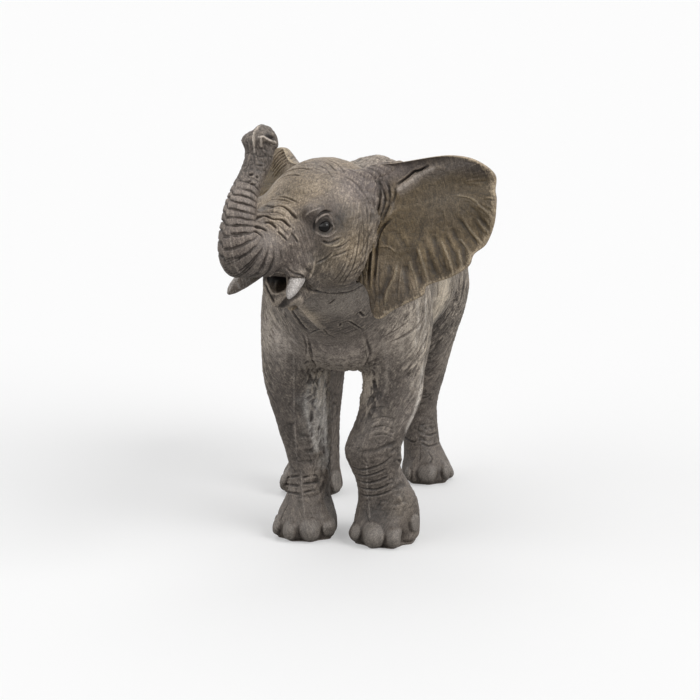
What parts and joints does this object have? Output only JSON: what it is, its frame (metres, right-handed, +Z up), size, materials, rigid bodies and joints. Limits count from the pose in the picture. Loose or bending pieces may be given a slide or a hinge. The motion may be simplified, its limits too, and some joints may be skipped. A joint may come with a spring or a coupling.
{
  "type": "toy elephant calf figure",
  "caption": "Hand-painted moulded toy of an African elephant calf, walking with its head turned, trunk raised and ears spread, glued up from a torso, head, legs, ears, tusks and tail.",
  "frame": {"origin": "on the ground, at the middle of the bounding box of the whole figure", "axes": "+Z up, the animal looks along -Y, its left side is +X"},
  "size_m": [0.0458, 0.1008, 0.0785],
  "materials": {
    "grey_skin": "hand-painted matte grey-brown over moulded wrinkles, lighter on the raised skin",
    "brown_ear": "hand-painted matte olive brown, darker towards the rim",
    "tusk_white": "satin grey-white paint on the outer faces"
  },
  "bodies": {
    "root": {"torso": "grey_skin", "head": "grey_skin", "left_foreleg": "grey_skin", "right_foreleg": "grey_skin", "left_hind_leg": "grey_skin", "right_hind_leg": "grey_skin", "tail": "grey_skin", "left_ear": "brown_ear", "right_ear": "brown_ear", "left_tusk": "tusk_white", "right_tusk": "tusk_white"}
  },
  "joints": []
}
